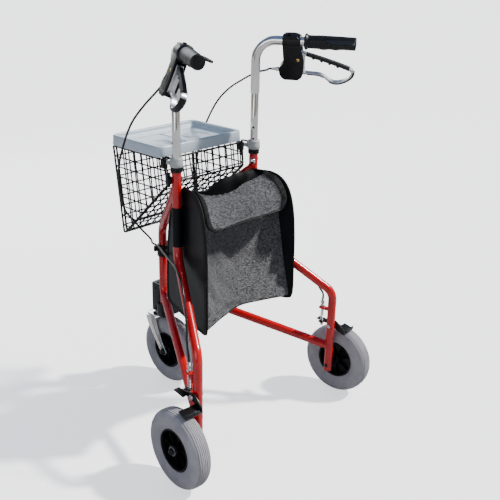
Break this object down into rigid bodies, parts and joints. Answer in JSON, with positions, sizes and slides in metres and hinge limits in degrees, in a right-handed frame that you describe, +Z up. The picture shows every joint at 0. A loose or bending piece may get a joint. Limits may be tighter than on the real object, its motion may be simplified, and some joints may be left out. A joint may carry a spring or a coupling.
{
  "type": "three-wheeled rolling walker",
  "caption": "Folding three-wheeled walker with a hinged tube frame, swivelling front wheel, loop hand brakes, wire basket with tray and a cloth bag.",
  "frame": {"origin": "on the floor, under the middle of the overall box, unfolded", "axes": "-Y towards the front caster, +Y towards the user, +X to the user's left, +Z up"},
  "size_m": [0.6474, 0.5516, 0.9645],
  "materials": {
    "red_paint": "glossy enamel",
    "chrome": "polished",
    "steel": "zinc plated",
    "brass": "satin",
    "black_plastic": "moulded, satin",
    "black_metal": "semi-gloss powder coat",
    "grip_rubber": "moulded",
    "grey_plastic": "satin",
    "tray_plastic": "satin",
    "tyre_grey": "ribbed",
    "basket_wire": "plastic coated wire",
    "grey_cloth": "embossed leatherette",
    "black_vinyl": "smooth coated cloth",
    "cable_sheath": "smooth"
  },
  "bodies": {
    "head": {"upper_hinge_clamp": "black_plastic", "caster_housing": "black_metal"},
    "caster": {"caster_stem": "steel", "caster_fork": "chrome", "front_axle": "black_metal"},
    "front_wheel": {"front_tyre": "tyre_grey", "front_hub": "black_plastic"},
    "left_side": {"left_frame_tube": "red_paint", "left_front_tube": "red_paint", "left_height_collar": "grey_plastic", "left_collar_ring": "black_plastic", "left_dome_bolt": "chrome", "left_axle_bolt": "black_metal", "left_cable_bracket": "red_paint", "left_cable_adjuster": "steel", "left_brake_spring": "steel", "left_brake_pivot_bolt": "steel", "left_brake_cable": "cable_sheath"},
    "left_wheel": {"left_tyre": "tyre_grey", "left_hub": "black_plastic"},
    "left_brake": {"left_brake_arm": "black_metal"},
    "left_knob": {"left_height_knob": "black_plastic"},
    "left_handle": {"left_handle_tube": "chrome", "left_lever_housing": "black_plastic", "left_lever_pin": "brass", "left_cable_ferrule": "steel", "left_grip": "grip_rubber"},
    "left_lever": {"left_brake_lever": "black_metal"},
    "left_bag_side": {"left_bag_panel": "black_vinyl", "left_bag_sleeve": "black_vinyl"},
    "right_side": {"right_frame_tube": "red_paint", "right_front_tube": "red_paint", "right_height_collar": "grey_plastic", "right_collar_ring": "black_plastic", "right_dome_bolt": "chrome", "right_axle_bolt": "black_metal", "right_cable_bracket": "red_paint", "right_cable_adjuster": "steel", "right_brake_spring": "steel", "right_brake_pivot_bolt": "steel", "right_brake_cable": "cable_sheath"},
    "right_wheel": {"right_tyre": "tyre_grey", "right_hub": "black_plastic"},
    "right_brake": {"right_brake_arm": "black_metal"},
    "right_knob": {"right_height_knob": "black_plastic"},
    "right_handle": {"right_handle_tube": "chrome", "right_lever_housing": "black_plastic", "right_lever_pin": "brass", "right_cable_ferrule": "steel", "right_grip": "grip_rubber"},
    "right_lever": {"right_brake_lever": "black_metal"},
    "right_bag_side": {"right_bag_panel": "black_vinyl", "right_bag_sleeve": "black_vinyl"},
    "basket": {"basket": "basket_wire"},
    "tray": {"tray": "tray_plastic"},
    "bag": {"bag_body": "grey_cloth"},
    "bag_flap": {"bag_flap": "grey_cloth"}
  },
  "joints": [
    {"name": "caster_swivel", "type": "hinge", "parent": "head", "child": "caster", "pos_m": [0, -0.2305, 0.2], "axis": [0, 0, 1], "continuous": true},
    {"name": "front_wheel_spin", "type": "hinge", "parent": "caster", "child": "front_wheel", "pos_m": [0, -0.1825, 0.095], "axis": [1, 0, 0], "continuous": true},
    {"name": "left_fold", "type": "hinge", "parent": "head", "child": "left_side", "pos_m": [0.0165, -0.1925, 0.3], "axis": [0, 0, 1], "range_deg": [0, 24.5], "deforming": ["bag_body", "bag_flap"]},
    {"name": "left_wheel_spin", "type": "hinge", "parent": "left_side", "child": "left_wheel", "pos_m": [0.29386, 0.17959, 0.095], "axis": [0.9951, -0.0993, 0], "continuous": true},
    {"name": "left_height", "type": "slide", "parent": "left_side", "child": "left_handle", "axis": [0, 0, 1], "range_m": [-0.085, 0], "deforming": ["left_brake_cable"]},
    {"name": "left_brake_lever_squeeze", "type": "hinge", "parent": "left_handle", "child": "left_lever", "pos_m": [0.1948, 0.07369, 0.90606], "axis": [0.7948, -0.4775, 0.3746], "range_deg": [0, 16], "stiffness_Nm_per_rad": 0.5, "springref_deg": -22.92},
    {"name": "left_brake_arm_press", "type": "hinge", "parent": "left_side", "child": "left_brake", "pos_m": [0.25705, 0.18326, 0.213], "axis": [-0.9951, 0.0993, 0], "range_deg": [0, 5.6], "deforming": ["left_brake_spring"]},
    {"name": "left_knob_turn", "type": "hinge", "parent": "left_side", "child": "left_knob", "pos_m": [0.1427, -0.01354, 0.65], "axis": [0.8572, -0.515, 0], "continuous": true},
    {"name": "left_bag_side_turn", "type": "hinge", "parent": "left_side", "child": "left_bag_side", "pos_m": [0.12898, -0.00529, 0.5], "axis": [0, 0, 1], "range_deg": [-14, 0.1]},
    {"name": "right_fold", "type": "hinge", "parent": "head", "child": "right_side", "pos_m": [-0.0165, -0.1925, 0.3], "axis": [0, 0, -1], "range_deg": [0, 24.5]},
    {"name": "right_wheel_spin", "type": "hinge", "parent": "right_side", "child": "right_wheel", "pos_m": [-0.29386, 0.17959, 0.095], "axis": [0.9951, 0.0993, 0], "continuous": true},
    {"name": "right_height", "type": "slide", "parent": "right_side", "child": "right_handle", "axis": [0, 0, 1], "range_m": [-0.085, 0], "deforming": ["right_brake_cable"]},
    {"name": "right_brake_lever_squeeze", "type": "hinge", "parent": "right_handle", "child": "right_lever", "pos_m": [-0.1948, 0.07369, 0.90606], "axis": [0.7948, 0.4775, -0.3746], "range_deg": [0, 16], "stiffness_Nm_per_rad": 0.5, "springref_deg": -22.92},
    {"name": "right_brake_arm_press", "type": "hinge", "parent": "right_side", "child": "right_brake", "pos_m": [-0.25705, 0.18326, 0.213], "axis": [-0.9951, -0.0993, 0], "range_deg": [0, 5.6], "deforming": ["right_brake_spring"]},
    {"name": "right_knob_turn", "type": "hinge", "parent": "right_side", "child": "right_knob", "pos_m": [-0.1427, -0.01354, 0.65], "axis": [-0.8572, -0.515, 0], "continuous": true},
    {"name": "right_bag_side_turn", "type": "hinge", "parent": "right_side", "child": "right_bag_side", "pos_m": [-0.12898, -0.00529, 0.5], "axis": [0, 0, -1], "range_deg": [-14, 0.1]},
    {"name": "basket_lift", "type": "slide", "parent": "head", "child": "basket", "axis": [0, 0, 1], "range_m": [0, 0.12]},
    {"name": "tray_lift", "type": "slide", "parent": "basket", "child": "tray", "axis": [0, 0, 1], "range_m": [0, 0.12]},
    {"name": "bag_shift", "type": "slide", "parent": "head", "child": "bag", "axis": [0, 1, 0], "range_m": [0, 0.031]},
    {"name": "bag_flap_lift", "type": "hinge", "parent": "bag", "child": "bag_flap", "pos_m": [0, 0.04271, 0.615], "axis": [1, 0, 0], "range_deg": [0, 60]}
  ],
  "couplings": [
    {"joint": "left_brake_arm_press", "follows": "left_brake_lever_squeeze", "ratio": 0.34375},
    {"joint": "left_bag_side_turn", "follows": "left_fold", "ratio": -0.563},
    {"joint": "right_fold", "follows": "left_fold", "ratio": 1},
    {"joint": "right_brake_arm_press", "follows": "right_brake_lever_squeeze", "ratio": 0.34375},
    {"joint": "right_bag_side_turn", "follows": "left_fold", "ratio": -0.563},
    {"joint": "bag_shift", "follows": "left_fold", "m_per_rad": 0.07}
  ]
}
